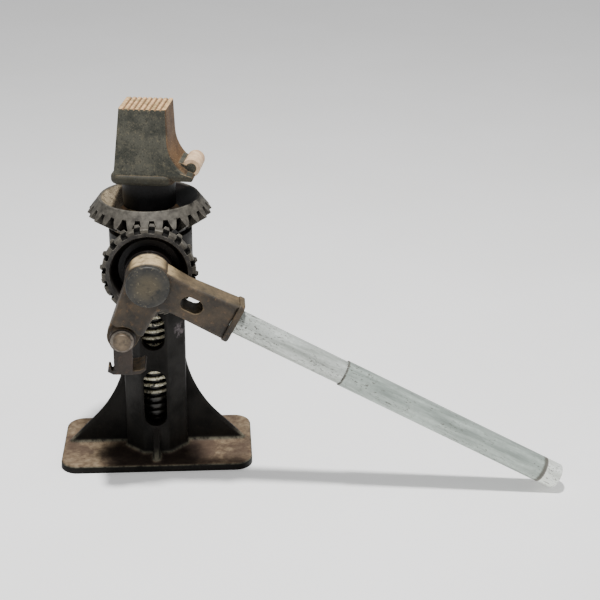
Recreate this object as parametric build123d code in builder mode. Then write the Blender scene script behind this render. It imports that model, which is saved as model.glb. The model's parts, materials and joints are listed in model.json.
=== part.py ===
from build123d import *
from math import acos, atan2, cos, degrees, hypot, pi, radians, sin, tan
import os

# A bevel-gear screw jack with a ratchet lever, as its separate pieces, in millimetres.
# Frame: X across the base, Y from front to back, Z up. The origin is the centre of the
# base's underside, on the axis of the lifting screw.

# Base, column and housing, one casting
base_width = 220
base_depth = 120
base_corner = 20
plate_thickness = 9
plate_edge = 3
column_flats = 70
column_edge = 4
foot_blend = 7
shoulder_bottom = 190
shoulder_top = 212
housing_radius = 46
bore_radius = 24
bore_floor = 14
web_thickness = 8
web_foot = 105
web_knee = (72, 43)
web_top = 120
web_edge = 3.5
rib_thickness = 7
rib_foot = 56
rib_edge = 2.5
window_width = 26
lower_window = (46, 116)
upper_window = (142, 186)

# Bevel gear pair: both pitch cones meet at the gear centre on the screw axis
gear_centre = 251
module = 5
pinion_teeth = 20
crown_teeth = 26
face_width = 20
pressure_angle = radians(20)
backlash = 0.35
addendum = module
dedendum = 1.25 * module
pinion_addendum = 0.72 * module
crown_phase = 3
pinion_pitch = module * pinion_teeth / 2
crown_pitch = module * crown_teeth / 2
cone_distance = hypot(pinion_pitch, crown_pitch)
pinion_cone = atan2(pinion_pitch, crown_pitch)
crown_cone = atan2(crown_pitch, pinion_pitch)

# Thrust bearing under the crown gear
bearing_floor = gear_centre + 14
housing_top = gear_centre + 26
hub_bottom = gear_centre + 28
hub_top = gear_centre + 47
ball_radius = 3.5
ball_circle = 33.25
ball_count = 20
race_bore = 28.6
race_radius = 38
race_thickness = 4
ball_level = (bearing_floor + hub_bottom) / 2

# Lifting screw and its nut
screw_radius = 22
screw_root = 18
thread_pitch = 8.47
thread_clearance = 0.4
screw_bottom = 22
shoulder_level = 330
journal_radius = 15
journal_top = 364
groove_level = 352
groove_radius = 12
groove_half_width = 3.3
lift = 15 * thread_pitch
guide_level = 185
guide_dog_radius = 4
guide_dog_tip = 17.6
guide_radius = 5.92
guide_hole = 6
guide_shank_start = 24.6
guide_shank_end = 56.6
guide_slot_width = 1.6
guide_slot_depth = 3
guide_boss_radius = 11
guide_boss_face = 44
locknut_half_width = 9
locknut_thickness = 7
nut_radius = 33
nut_pilot_radius = 28

# Load head, turned a little on the screw
head_turn = -8.7
head_top = 417.5
block_bottom = 345
block_edge = 3
flange_bottom = 335
flange_edge = 4
skirt_bottom = 305
skirt_radius = 29.1
top_width = 51
top_depth = 49
block_depth = 62
top_grooves = 8
groove_depth = 1.4
toe_centre = (49.5, 351.5)
bead_radius = 5.8
sleeve_radius = 9.6
sleeve_span = (-15, 21)
pin_offset = 15.2
pin_radius = 3
pin_span = (-31, 18)

# Bevel pinion, its stud and the lever on it
ring_front = 74
ring_radius = 50.5
ring_root = 45.6
notch_width = 7.2
stud_radius = 13
stud_pad_face = housing_radius + 0.7
stud_tail_end = 25.6
stud_head_thickness = 6
stud_tail_radius = 12
lock_pin_depth = 36
lock_pin_radius = 2.5
lock_pin_bottom = gear_centre - 8
stud_head_radius = 23.2
lever_back = 75.5
lever_front = 106.5
lever_angle = 27.8
boss_radius = 25
arm_length = 97
lip_length = 103.5
lever_edge = 5
pawl_pivot = (-29.5, -64.5)
pawl_end_radius = 17
pawl_pin_radius = 6
pawl_pin_head = 9.8
eye_centre = 51
elbow_point = (8, -32)
pawl_back = 92.4
pawl_front = 104
pawl_claw_back = 70
running_fit = 0.08

# Pipe handle, which leans a little outwards from the lever
pipe_radius = 13.35
pipe_bore = 10.5
pipe_start = 66
socket_point = 85
handle_lean = 3.4
sleeve_start = 235
cap_start = 488
handle_end = 509
cover_radius = 14.6


def save(piece, node):
    """Label a finished piece and write it under its node's name."""
    piece.label = node
    export_step(piece, f"parts/{node}.step")
    print(node, round(piece.volume / 1000, 1), "cm3")


def turned(plane):
    """The same plane, turned with the load head about the screw axis."""
    return Plane(Location((0, 0, 0), (0, 0, head_turn)) * plane.location)


def front_plane(depth):
    """A plane facing forward at a depth in front of the axis, centred on the stud."""
    return Plane(origin=(0, -depth, gear_centre), x_dir=(1, 0, 0), z_dir=(0, -1, 0))


def pivot_plane(depth):
    """A front plane centred on the pawl's pivot."""
    across, up = pawl_pivot
    return Plane(origin=(across, -depth, gear_centre + up), x_dir=(1, 0, 0), z_dir=(0, -1, 0))


def arm_plane(depth):
    """A front plane whose x runs out along the lever's long arm."""
    along = (cos(radians(lever_angle)), 0, -sin(radians(lever_angle)))
    return Plane(origin=(0, -depth, gear_centre), x_dir=along, z_dir=(0, -1, 0))


def arm_section(distance):
    """A plane square to the lever's long arm, x up, at a distance from the stud axis."""
    slope = radians(lever_angle)
    middle = (lever_back + lever_front) / 2
    return Plane(
        origin=(distance * cos(slope), -middle, gear_centre - distance * sin(slope)),
        x_dir=(sin(slope), 0, cos(slope)),
        z_dir=(cos(slope), 0, -sin(slope)),
    )


def handle_plane(distance):
    """A plane square to the pipe, at a distance from the stud axis."""
    slope = radians(lever_angle)
    lean = radians(handle_lean)
    axis = Vector(cos(slope) * cos(lean), -sin(lean), -sin(slope) * cos(lean))
    middle = (lever_back + lever_front) / 2
    seat = Vector(socket_point * cos(slope), -middle, gear_centre - socket_point * sin(slope))
    return Plane(origin=seat + axis * (distance - socket_point), x_dir=(0, 0, 1), z_dir=axis)


def guide_plane(distance):
    """A plane facing back, centred on the guide screw, at a distance behind the axis."""
    return Plane(origin=(0, distance, guide_level), z_dir=(0, 1, 0))


def ring(inner, outer, bottom, top):
    """A plain ring about the screw axis."""
    with BuildPart() as washer:
        with BuildSketch(Plane.XY.offset(bottom)):
            Circle(outer)
            Circle(inner, mode=Mode.SUBTRACT)
        extrude(amount=top - bottom)
    return washer.part


def tube_along_handle(start, end, outer, inner):
    """A tube on the handle's axis between two distances from the stud."""
    with BuildPart() as tube:
        with BuildSketch(handle_plane(start)):
            Circle(outer)
            Circle(inner, mode=Mode.SUBTRACT)
        extrude(amount=end - start)
    return tube.part


# ---- Gear cutting -------------------------------------------------------------------

def flank_points(pitch_radius, teeth, cone):
    """One flank of a tooth gap, on the plane square to the pitch cone at the heel.

    The involute is drawn on the back cone, unrolled, and seen from the apex on the plane.
    """
    virtual_radius = pitch_radius / cos(cone)
    virtual_teeth = teeth / cos(cone)
    base_radius = virtual_radius * cos(pressure_angle)
    lowest = virtual_radius - dedendum
    highest = virtual_radius + addendum * 1.3
    steps = 5
    points = []
    for step in range(steps + 1):
        radius = lowest + (highest - lowest) * step / steps
        tilt = acos(min(1, base_radius / radius))
        half_gap = pi / (2 * virtual_teeth) - (tan(pressure_angle) - pressure_angle)
        half_gap += tan(tilt) - tilt + backlash / virtual_radius
        turn = half_gap / cos(cone)
        reach = radius * cos(cone)
        height = cone_distance / cos(cone) - radius * sin(cone)
        scale = cone_distance / (reach * cos(turn) * sin(cone) + height * cos(cone))
        across = scale * reach * sin(turn)
        out = scale * (reach * cos(turn) * cos(cone) - height * sin(cone))
        points.append((across, out))
    return points


def gap_cutter(pitch_radius, teeth, cone, toe, heel):
    """The space between two teeth, tapering to the apex at the origin, open toward +Y."""
    flank = flank_points(pitch_radius, teeth, cone)
    with BuildPart() as cutter:
        for reach in (toe, heel):
            square = Plane(
                origin=(0, reach * sin(cone), reach * cos(cone)),
                x_dir=(1, 0, 0),
                z_dir=(0, sin(cone), cos(cone)),
            )
            size = reach / cone_distance
            right = [(x * size, y * size) for x, y in flank]
            left = [(-x, y) for x, y in right]
            with BuildSketch(square):
                with BuildLine():
                    Spline(*right)
                    Line(right[-1], left[-1])
                    Spline(*left)
                    Line(right[0], left[0])
                make_face()
        loft(ruled=True)
    return cutter.part


def cone_point(pitch_radius, cone, out, reach=1.0):
    """Radius and distance from the apex of a point on a gear's heel, or part-way in."""
    radius = pitch_radius + out * cos(cone)
    height = pitch_radius / tan(cone) - out * sin(cone)
    return radius * reach, height * reach


# ---- The casting --------------------------------------------------------------------

def side_web():
    """The right-hand web, hollow-curved up to the column, with its edges rounded."""
    with BuildPart() as web:
        with BuildSketch(Plane.XZ):
            with BuildLine():
                slope = Line((web_foot, plate_thickness), web_knee)
                rise = TangentArc(slope @ 1, (column_flats / 2 - 0.5, web_top), tangent=slope % 1)
                Line(rise @ 1, (10, web_top))
                Line((10, web_top), (10, plate_thickness))
                Line((10, plate_thickness), (web_foot, plate_thickness))
            make_face()
        extrude(amount=web_thickness / 2, both=True)
        fillet([edge for edge in web.edges() if is_sloping(edge.bounding_box().size)], web_edge)
    return web.part


def front_rib():
    """The short rib under the lower window, with its edges rounded."""
    with BuildPart() as rib:
        with BuildSketch(Plane.YZ):
            with BuildLine():
                Polyline(
                    (-rib_foot, plate_thickness),
                    (-column_flats / 2 + 1, lower_window[0] - 1),
                    (-10, lower_window[0] - 1),
                    (-10, plate_thickness),
                    close=True,
                )
            make_face()
        extrude(amount=rib_thickness / 2, both=True)
        fillet([edge for edge in rib.edges() if is_sloping(edge.bounding_box().size)], rib_edge)
    return rib.part


def is_sloping(size):
    """Whether an edge of this box size rises and also runs outwards."""
    return size.Z > 10 and size.X + size.Y > 10


def on_plate_rim(edge):
    """Whether an edge at the plate's top belongs to the plate's own rim."""
    box = edge.bounding_box()
    return box.max.X > web_foot + 1 or box.min.X < -web_foot - 1 or abs(edge.center().Y) > rib_foot + 0.5


def make_standard():
    """Base plate, octagonal column, webs and gear housing, cast in one piece."""
    web = side_web()
    rib = front_rib()
    with BuildPart() as standard:
        with BuildSketch():
            RectangleRounded(base_width, base_depth, base_corner)
        extrude(amount=plate_thickness)
        fillet(standard.faces().sort_by(Axis.Z)[-1].edges(), plate_edge)
        with BuildSketch(Plane.XY.offset(plate_thickness)):
            RegularPolygon(column_flats / 2, 8, major_radius=False, rotation=22.5)
        extrude(amount=shoulder_bottom + 6 - plate_thickness)
        upright = standard.edges().filter_by(Axis.Z)
        fillet(upright.filter_by_position(Axis.Z, plate_thickness, shoulder_bottom), column_edge)
        add(web)
        add(web.mirror(Plane.YZ))
        add(rib)
        add(rib.mirror(Plane.XZ))
        level = standard.edges().filter_by_position(Axis.Z, plate_thickness, plate_thickness)
        fillet([edge for edge in level if not on_plate_rim(edge)], foot_blend)
        with BuildSketch(Plane.XZ):
            with BuildLine():
                Polyline(
                    (0, shoulder_bottom),
                    (column_flats / 2, shoulder_bottom),
                    (housing_radius, shoulder_top),
                    (housing_radius, housing_top),
                    (0, housing_top),
                    close=True,
                )
            make_face()
        revolve(axis=Axis.Z)
        with BuildSketch(front_plane(stud_pad_face)):
            Circle(boss_radius)
        extrude(amount=bore_radius + 6 - stud_pad_face)
        with BuildSketch(guide_plane(guide_boss_face)):
            Circle(guide_boss_radius)
        extrude(amount=column_flats / 2 - guide_boss_face - 5)
        with BuildSketch(Plane.XY.offset(bore_floor)):
            Circle(bore_radius)
        extrude(amount=housing_top - bore_floor, mode=Mode.SUBTRACT)
        with BuildSketch(Plane.XY.offset(bearing_floor)):
            Circle(race_radius + 0.3)
        extrude(amount=housing_top - bearing_floor, mode=Mode.SUBTRACT)
        for bottom, top in (lower_window, upper_window):
            middle = (bottom + top) / 2
            with BuildSketch(Plane.XZ.offset(column_flats / 2 + 5)):
                with Locations((0, middle)):
                    SlotOverall(top - bottom, window_width, rotation=90)
            extrude(amount=-25, mode=Mode.SUBTRACT)
        with BuildSketch(front_plane(10)):
            Circle(stud_tail_radius + 0.05)
        extrude(amount=housing_radius, mode=Mode.SUBTRACT)
        with BuildSketch(guide_plane(guide_boss_face)):
            Circle(guide_hole)
        extrude(amount=-guide_boss_face / 2, mode=Mode.SUBTRACT)
        with BuildSketch(Plane.XY.offset(lock_pin_bottom)):
            with Locations((0, -lock_pin_depth)):
                Circle(lock_pin_radius + 0.05)
        extrude(amount=housing_top - lock_pin_bottom, mode=Mode.SUBTRACT)
    return standard.part


def make_guide_screw():
    """Dog-pointed set screw whose tip rides in the lifting screw's keyway."""
    with BuildPart() as guide:
        with BuildSketch(guide_plane(guide_dog_tip)):
            Circle(guide_dog_radius)
        extrude(amount=guide_shank_start + 1 - guide_dog_tip)
        with BuildSketch(guide_plane(guide_shank_start)):
            Circle(guide_radius)
        extrude(amount=guide_shank_end - guide_shank_start)
        chamfer(guide.edges().group_by(Axis.Y)[-1], 0.8)
        with BuildSketch(guide_plane(guide_shank_end)):
            Rectangle(guide_slot_width, 3 * guide_radius)
        extrude(amount=-guide_slot_depth, mode=Mode.SUBTRACT)
    return guide.part


def make_guide_locknut():
    """Hexagon nut that locks the guide screw against the column's boss."""
    with BuildPart() as locknut:
        with BuildSketch(guide_plane(guide_boss_face)):
            RegularPolygon(locknut_half_width, 6, major_radius=False)
            Circle(guide_radius + 0.05, mode=Mode.SUBTRACT)
        extrude(amount=locknut_thickness)
    return locknut.part


# ---- Thrust bearing -----------------------------------------------------------------

def make_race(bottom, top):
    """A flat thrust race with a ball groove in the face toward the balls."""
    with BuildPart() as race:
        with BuildSketch(Plane.XY.offset(bottom)):
            Circle(race_radius)
            Circle(race_bore, mode=Mode.SUBTRACT)
        extrude(amount=top - bottom)
        with Locations((0, 0, ball_level)):
            Torus(ball_circle, ball_radius + 0.1, mode=Mode.SUBTRACT)
    return race.part


def make_balls():
    """The bearing's steel balls, as one group."""
    with BuildPart() as balls:
        with Locations((0, 0, ball_level)):
            with PolarLocations(ball_circle, ball_count):
                Sphere(ball_radius)
    return balls.part


def make_cage():
    """Brass ring that keeps the balls apart."""
    with BuildPart() as cage:
        with BuildSketch(Plane.XY.offset(ball_level - 2)):
            Circle(race_radius - 0.2)
            Circle(race_bore + 0.1, mode=Mode.SUBTRACT)
            with PolarLocations(ball_circle, ball_count):
                Circle(ball_radius + 0.2, mode=Mode.SUBTRACT)
        extrude(amount=4)
    return cage.part


# ---- Screw and nut ------------------------------------------------------------------

def thread(bottom, length, clearance=0.0):
    """A right-hand trapezoidal thread ridge that passes through fixed places in space."""
    root = screw_root - 0.3 - clearance
    depth = screw_radius + clearance - root
    half_root = thread_pitch * 0.33 + clearance
    half_crest = thread_pitch * 0.17 + clearance
    start = thread_pitch * round(bottom / thread_pitch)
    with BuildPart() as ridge:
        with BuildLine():
            path = Helix(thread_pitch, length, root, center=(0, 0, start))
        with BuildSketch(Plane(path @ 0, x_dir=(1, 0, 0), z_dir=path % 0)):
            with BuildLine():
                Polyline(
                    (0, -half_root),
                    (0, half_root),
                    (depth, half_crest),
                    (depth, -half_crest),
                    close=True,
                )
            make_face()
        sweep(is_frenet=True)
    return ridge.part


def make_lifting_screw():
    """Threaded spindle with a keyway at the back and a journal for the head on top."""
    ridge = thread(screw_bottom + 4, shoulder_level - screw_bottom - 14)
    with BuildPart() as screw:
        with BuildSketch(Plane.XY.offset(screw_bottom)):
            Circle(screw_root)
        extrude(amount=shoulder_level - screw_bottom)
        add(ridge)
        with BuildSketch(Plane.XZ):
            with BuildLine():
                Polyline(
                    (0, shoulder_level - 8),
                    (screw_root, shoulder_level - 8),
                    (screw_radius - 0.2, shoulder_level - 4),
                    (screw_radius - 0.2, shoulder_level),
                    (journal_radius, shoulder_level),
                    (journal_radius, groove_level - groove_half_width),
                    (groove_radius, groove_level - groove_half_width),
                    (groove_radius, groove_level + groove_half_width),
                    (journal_radius, groove_level + groove_half_width),
                    (journal_radius, journal_top - 2),
                    (journal_radius - 2, journal_top),
                    (0, journal_top),
                    close=True,
                )
            make_face()
        revolve(axis=Axis.Z)
        keyway_top = guide_level + guide_dog_radius + 0.4
        keyway_bottom = guide_level - lift - guide_dog_radius - 0.4
        with BuildSketch(Plane.XZ.offset(-screw_radius - 3)):
            with Locations((0, (keyway_top + keyway_bottom) / 2)):
                SlotOverall(keyway_top - keyway_bottom, 2 * guide_dog_radius + 0.6, rotation=90)
        extrude(amount=8, mode=Mode.SUBTRACT)
    return screw.part


def make_screw_nut():
    """Bronze nut fixed in the crown gear, with a pilot that centres the thrust bearing."""
    bottom = bearing_floor + 0.6
    groove = thread(bottom - 1.6 * thread_pitch, hub_top - bottom + 3 * thread_pitch,
                    thread_clearance)
    with BuildPart() as nut:
        with BuildSketch(Plane.XY.offset(bottom)):
            Circle(nut_pilot_radius)
        extrude(amount=hub_top - bottom)
        with BuildSketch(Plane.XY.offset(hub_bottom)):
            Circle(nut_radius)
        extrude(amount=hub_top - hub_bottom)
        with BuildSketch(Plane.XY.offset(bottom)):
            Circle(screw_root + thread_clearance)
        extrude(amount=hub_top - bottom, mode=Mode.SUBTRACT)
        add(groove, mode=Mode.SUBTRACT)
        with BuildSketch(Plane.XY.offset(hub_top - 14)):
            with PolarLocations(nut_radius, 2):
                Circle(3)
        extrude(amount=14, mode=Mode.SUBTRACT)
    return nut.part


def make_nut_keys():
    """Two round keys on the joint line that stop the nut turning in the crown gear."""
    with BuildPart() as keys:
        with BuildSketch(Plane.XY.offset(hub_top - 13.9)):
            with PolarLocations(nut_radius, 2):
                Circle(2.95)
        extrude(amount=13.9)
    return keys.part


# ---- Gears --------------------------------------------------------------------------

def make_crown_gear():
    """Large bevel gear: teeth below, an open bowl above, a hub on the thrust bearing."""
    inner = (cone_distance - face_width) / cone_distance
    heel_tip = cone_point(crown_pitch, crown_cone, addendum)
    heel_root = cone_point(crown_pitch, crown_cone, -dedendum)
    toe_tip = cone_point(crown_pitch, crown_cone, addendum, inner)
    toe_root = cone_point(crown_pitch, crown_cone, -dedendum, inner)
    rim_radius = 55
    rise = (heel_root[1] - heel_tip[1]) / (heel_tip[0] - heel_root[0])
    rim_height = heel_root[1] + (heel_root[0] - rim_radius) * rise
    gap = gap_cutter(crown_pitch, crown_teeth, crown_cone,
                     cone_distance - face_width - 4, cone_distance + 4)
    with BuildPart() as crown:
        with BuildSketch(Plane.XZ):
            with BuildLine():
                Polyline(
                    (nut_radius + 0.05, hub_bottom - gear_centre),
                    (42, hub_bottom - gear_centre),
                    (43.5, hub_bottom - gear_centre + 1.5),
                    (43.5, toe_root[1] - 1),
                    toe_root,
                    toe_tip,
                    heel_tip,
                    heel_root,
                    (rim_radius, rim_height),
                    (rim_radius - 1.8, rim_height),
                    (38.5, hub_top - gear_centre),
                    (nut_radius + 0.05, hub_top - gear_centre),
                    close=True,
                )
            make_face()
        revolve(axis=Axis.Z)
        with PolarLocations(0, crown_teeth, start_angle=180 + crown_phase_turn()):
            add(gap, mode=Mode.SUBTRACT)
        with BuildSketch(Plane.XY.offset(hub_top - gear_centre - 14)):
            with PolarLocations(nut_radius, 2):
                Circle(3)
        extrude(amount=14, mode=Mode.SUBTRACT)
    return Location((0, 0, gear_centre)) * crown.part


def crown_phase_turn():
    """Turn of the first gap, so that a tooth stands just to the left of the front."""
    return -crown_phase + 180 / crown_teeth


def make_bevel_pinion():
    """Small bevel gear with a dished face and a notched ratchet ring round it."""
    inner = (cone_distance - face_width) / cone_distance
    heel_tip = cone_point(pinion_pitch, pinion_cone, pinion_addendum)
    toe_tip = cone_point(pinion_pitch, pinion_cone, pinion_addendum, inner)
    toe_root = cone_point(pinion_pitch, pinion_cone, -dedendum, inner)
    gap = gap_cutter(pinion_pitch, pinion_teeth, pinion_cone,
                     cone_distance - face_width - 4, cone_distance + 0.3)
    back = toe_tip[1] + 0.2
    ring_back = heel_tip[1] + (heel_tip[0] - ring_radius) * tan(pinion_cone)
    first_notch = 90 + pinion_phase_turn() + 180 / pinion_teeth
    with BuildPart() as pinion:
        with BuildSketch(Plane.XZ):
            with BuildLine():
                Polyline(
                    (stud_radius + running_fit, back),
                    (30, back),
                    (31, toe_root[1]),
                    toe_root,
                    toe_tip,
                    heel_tip,
                    (ring_radius, ring_back),
                    (ring_radius, ring_front - 0.8),
                    (ring_radius - 0.8, ring_front),
                    (42, ring_front),
                    (41.2, 71),
                    (33.5, 59),
                    (27, 59),
                    (26, ring_front),
                    (stud_radius + running_fit, ring_front),
                    close=True,
                )
            make_face()
        revolve(axis=Axis.Z)
        with PolarLocations(0, pinion_teeth, start_angle=pinion_phase_turn()):
            add(gap, mode=Mode.SUBTRACT)
        with BuildSketch(Plane.XY.offset(ring_back)):
            with PolarLocations(ring_root + 6, pinion_teeth, start_angle=first_notch):
                Rectangle(12, notch_width)
        extrude(amount=20, mode=Mode.SUBTRACT)
    return front_plane(0).location * pinion.part


def pinion_phase_turn():
    """Turn of the gap that takes the crown's front tooth."""
    return crown_phase * crown_teeth / pinion_teeth


# ---- Stud ---------------------------------------------------------------------------

def make_pinion_stud():
    """Headed stud, fixed in the housing wall, that carries the pinion and the lever."""
    with BuildPart() as stud:
        with BuildSketch(front_plane(lever_front + 0.3)):
            Circle(stud_head_radius)
        extrude(amount=stud_head_thickness)
        fillet(stud.edges().group_by(Axis.Y)[0], 2.2)
        with BuildSketch(front_plane(stud_pad_face)):
            Circle(stud_radius)
        extrude(amount=lever_front + 1 - stud_pad_face)
        with BuildSketch(front_plane(stud_tail_end)):
            Circle(stud_tail_radius)
        extrude(amount=stud_pad_face + 1 - stud_tail_end)
        with BuildSketch(Plane.XY.offset(lock_pin_bottom)):
            with Locations((0, -lock_pin_depth)):
                Circle(lock_pin_radius + 0.05)
        extrude(amount=gear_centre - lock_pin_bottom + stud_radius + 1, mode=Mode.SUBTRACT)
    return stud.part


def make_stud_lock_pin():
    """Pin driven down from the bearing seat through the stud's tail."""
    with BuildPart() as pin:
        with BuildSketch(Plane.XY.offset(lock_pin_bottom + 0.1)):
            with Locations((0, -lock_pin_depth)):
                Circle(lock_pin_radius)
        extrude(amount=bearing_floor - lock_pin_bottom - 0.3)
    return pin.part


def make_stud_washer():
    """Steel washer between the pinion and the lever's boss."""
    with BuildPart() as washer:
        with BuildSketch(front_plane(ring_front + 0.1)):
            Circle(24)
            Circle(stud_radius + 0.15, mode=Mode.SUBTRACT)
        extrude(amount=lever_back - ring_front - 0.2)
    return washer.part


# ---- Load head ----------------------------------------------------------------------

def head_flange():
    """The rounded flange under the block."""
    with BuildPart() as flange:
        with BuildSketch(turned(Plane.XY.offset(flange_bottom))):
            with Locations((-2, 0)):
                RectangleRounded(70, 66, 13)
        extrude(amount=block_bottom + 1 - flange_bottom)
        fillet(flange.edges().filter_by(Axis.Z, reverse=True), flange_edge)
    return flange.part


def make_load_head():
    """Swivelling head: ribbed top, square block, lifting toe, flange and skirt."""
    right = top_width / 2
    flange = head_flange()
    with BuildPart() as head:
        with BuildSketch(turned(Plane.XZ)):
            with BuildLine():
                Line((-33, block_bottom - 2), (-right, head_top))
                Line((-right, head_top), (right, head_top))
                side = Line((right, head_top), (right + 1, 384))
                sweep_out = TangentArc(side @ 1, (46, 348), tangent=side % 1)
                Line(sweep_out @ 1, (52, 346))
                TangentArc((52, 346), (51, 341), tangent=(1, -0.4))
                Line((51, 341), (32, 341))
                Line((32, 341), (31, block_bottom - 2))
                Line((31, block_bottom - 2), (-33, block_bottom - 2))
            make_face()
        extrude(amount=block_depth / 2, both=True)
        bead_length = sleeve_span[1] - sleeve_span[0]
        with BuildSketch(turned(Plane.XZ.offset(-sleeve_span[1]))):
            with Locations(toe_centre):
                Circle(bead_radius)
            with BuildLine():
                Polyline(
                    (34, 341.5),
                    (toe_centre[0] - 2, toe_centre[1] - bead_radius + 0.4),
                    (toe_centre[0] - 2, toe_centre[1] + bead_radius - 2.4),
                    (34, 358),
                    close=True,
                )
            make_face()
        extrude(amount=bead_length)
        with BuildSketch(turned(Plane.YZ)):
            with BuildLine():
                Polyline(
                    (-block_depth / 2, block_bottom - 10),
                    (block_depth / 2, block_bottom - 10),
                    (top_depth / 2, head_top),
                    (-top_depth / 2, head_top),
                    close=True,
                )
            make_face()
        extrude(amount=100, both=True, mode=Mode.INTERSECT)
        corners = [edge for edge in head.edges() if edge.bounding_box().size.Z > 30]
        fillet(corners, block_edge)
        add(split_ring(bead_radius - 0.05, sleeve_radius + 0.4, -0.4, 0.3), mode=Mode.SUBTRACT)
        add(flange)
        with BuildSketch(Plane.XY.offset(skirt_bottom)):
            Circle(skirt_radius)
        extrude(amount=flange_bottom - skirt_bottom)
        with BuildSketch(Plane.XY.offset(skirt_bottom)):
            Circle(screw_radius + 0.7)
        extrude(amount=shoulder_level + 3 - skirt_bottom, mode=Mode.SUBTRACT)
        with BuildSketch(Plane.XY.offset(shoulder_level)):
            Circle(journal_radius + running_fit)
        extrude(amount=journal_top + 2 - shoulder_level, mode=Mode.SUBTRACT)
        with BuildSketch(turned(Plane.YZ.offset(-top_width))):
            with Locations((-pin_offset, groove_level), (pin_offset, groove_level)):
                Circle(pin_radius + 0.05)
        extrude(amount=top_width + pin_span[1] + 1, mode=Mode.SUBTRACT)
        with BuildSketch(turned(Plane.XZ.offset(-block_depth))):
            with Locations((0, head_top)):
                with GridLocations(top_width / (top_grooves + 1), 0, top_grooves, 1):
                    RegularPolygon(groove_depth, 4)
        extrude(amount=2 * block_depth, mode=Mode.SUBTRACT)
    return head.part


def make_head_thrust_washer():
    """Hardened washer on the screw's shoulder that the head turns on."""
    return ring(journal_radius + 0.2, screw_radius, shoulder_level, shoulder_level + 3)


def make_head_pins():
    """Two pins through the head that run in the journal's groove and hold the head on."""
    with BuildPart() as pins:
        with BuildSketch(turned(Plane.YZ.offset(pin_span[0]))):
            with Locations((-pin_offset, groove_level), (pin_offset, groove_level)):
                Circle(pin_radius)
        extrude(amount=pin_span[1] - pin_span[0])
    return pins.part


def split_ring(inner, outer, gap, spare=0.0):
    """The toe sleeve's section, open toward the block, with spare room at its ends."""
    across, up = toe_centre
    with BuildPart() as split:
        with BuildSketch(turned(Plane.XZ.offset(-sleeve_span[1] - spare))):
            with Locations(toe_centre):
                Circle(outer)
                Circle(inner, mode=Mode.SUBTRACT)
            with BuildLine():
                Polyline(
                    (across + 1, up),
                    (across - 15, up + 8 + gap),
                    (across - 15, up - 16),
                    (across - 2 + gap, up - 16),
                    close=True,
                )
            make_face(mode=Mode.SUBTRACT)
        extrude(amount=sleeve_span[1] - sleeve_span[0] + 2 * spare)
    return split.part


def make_toe_sleeve():
    """Split wear sleeve sprung over the toe's bead."""
    return split_ring(bead_radius + 0.05, sleeve_radius, 0)


# ---- Lever and pawl -----------------------------------------------------------------

def socket_lip():
    """The raised lip round the mouth of the pipe socket."""
    with BuildPart() as lip:
        with BuildSketch(arm_section(arm_length)):
            RectangleRounded(47, lever_front - lever_back + 3, 8)
        extrude(amount=lip_length - arm_length)
        fillet(lip.faces().filter_by(GeomType.PLANE).sort_by(SortBy.AREA)[-2:].edges(), 1.5)
    return lip.part


def make_lever_socket():
    """Cast lever: boss on the stud, long arm with the pipe socket, short pawl arm."""
    thickness = lever_front - lever_back
    swing = degrees(atan2(pawl_pivot[1], pawl_pivot[0]))
    reach = hypot(*pawl_pivot)
    lip = socket_lip()
    with BuildPart() as lever:
        with BuildSketch(front_plane(lever_back)) as outline:
            Circle(boss_radius)
            with Locations(pawl_pivot):
                Circle(pawl_end_radius)
            with BuildLine(Plane.XY.rotated((0, 0, swing))):
                Polyline((0, -23), (reach, -pawl_end_radius), (reach, pawl_end_radius), (0, 23),
                         close=True)
            make_face()
            with BuildLine(Plane.XY.rotated((0, 0, -lever_angle))):
                Polyline((0, -22), (40, -19), (98, -21.5), (98, 21.5), (40, 19), (0, 23),
                         close=True)
            make_face()
            elbow = Vector(*elbow_point)
            fillet(outline.vertices().sort_by_distance(elbow)[0], 9)
        extrude(amount=thickness)
        fillet(lever.edges().group_by(Axis.Y)[0], lever_edge)
        fillet(lever.edges().group_by(Axis.Y)[-1], lever_edge)
        add(lip)
        with BuildSketch(arm_plane(lever_back)):
            with Locations((eye_centre, 0)):
                SlotOverall(25, 16)
        extrude(amount=thickness, mode=Mode.SUBTRACT)
        with BuildSketch(handle_plane(pipe_start - 2)):
            Circle(pipe_radius + 0.15)
        extrude(amount=60, mode=Mode.SUBTRACT)
        with BuildSketch(front_plane(lever_back)):
            Circle(stud_radius + running_fit)
            with Locations(pawl_pivot):
                Circle(pawl_pin_radius + 0.05)
        extrude(amount=thickness, mode=Mode.SUBTRACT)
        with BuildSketch(pivot_plane(pawl_back - 0.4)):
            Circle(pawl_end_radius + 0.8)
            with Locations(Location((0, 0, 0), (0, 0, swing))):
                with Locations((3, 0)):
                    Rectangle(34, 44)
        extrude(amount=20, mode=Mode.SUBTRACT)
    return lever.part


def make_pawl():
    """Pawl: hub, stem, a thin foot with a horn, and a deep claw that meets the ratchet ring."""
    with BuildPart() as pawl:
        with BuildSketch(pivot_plane(pawl_back)):
            Circle(14)
            with Locations((0, -20)):
                Rectangle(20, 36)
            with BuildLine():
                Polyline((-10, -34), (-12.5, -35.5), (-14, -29.5), (-16, -29.5), (-17, -36.5),
                         (-11, -40), (10, -40.5), (10, -34), close=True)
            make_face()
            Circle(pawl_pin_radius + running_fit, mode=Mode.SUBTRACT)
        extrude(amount=pawl_front - pawl_back)
        fillet(pawl.faces().sort_by(Axis.Y)[0].outer_wire().edges(), 0.8)
        with BuildSketch(pivot_plane(pawl_claw_back)):
            with BuildLine():
                Polyline((3, -37), (18, -35.5), (22.5, -33), (24, -35), (18, -39.5), (3, -40.5),
                         close=True)
            make_face()
        extrude(amount=pawl_front - 0.5 - pawl_claw_back)
    return pawl.part


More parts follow.
